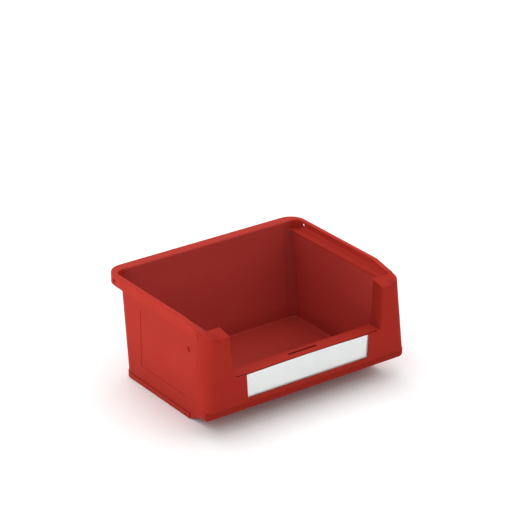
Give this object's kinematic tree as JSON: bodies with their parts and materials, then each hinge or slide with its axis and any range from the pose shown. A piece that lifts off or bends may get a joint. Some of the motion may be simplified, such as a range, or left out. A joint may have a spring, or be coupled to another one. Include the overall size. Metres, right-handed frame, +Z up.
{
  "type": "stackable storage bin",
  "caption": "Small open-front stackable storage bin in moulded plastic, with a stacking rim, a cut-down front, a lip and a front pocket that holds a label card under a clear strip.",
  "frame": {"origin": "centre of the overall footprint, on the base plane", "axes": "+Z up, -Y towards the open front, +X across the width to the right when looking along +Y"},
  "size_m": [0.1044, 0.0788, 0.048],
  "materials": {
    "bin_plastic": "satin moulded polypropylene, red",
    "label_paper": "plain white card, matte",
    "label_clear": "clear glossy plastic strip"
  },
  "bodies": {
    "bin": {"bin_body": "bin_plastic"},
    "card": {"label_card": "label_paper"},
    "cover": {"label_cover": "label_clear"}
  },
  "joints": [
    {"name": "card_slide", "type": "slide", "parent": "bin", "child": "card", "axis": [0, 0, 1], "range_m": [0, 0.016]},
    {"name": "cover_slide", "type": "slide", "parent": "bin", "child": "cover", "axis": [0, 0, 1], "range_m": [0, 0.016]}
  ]
}
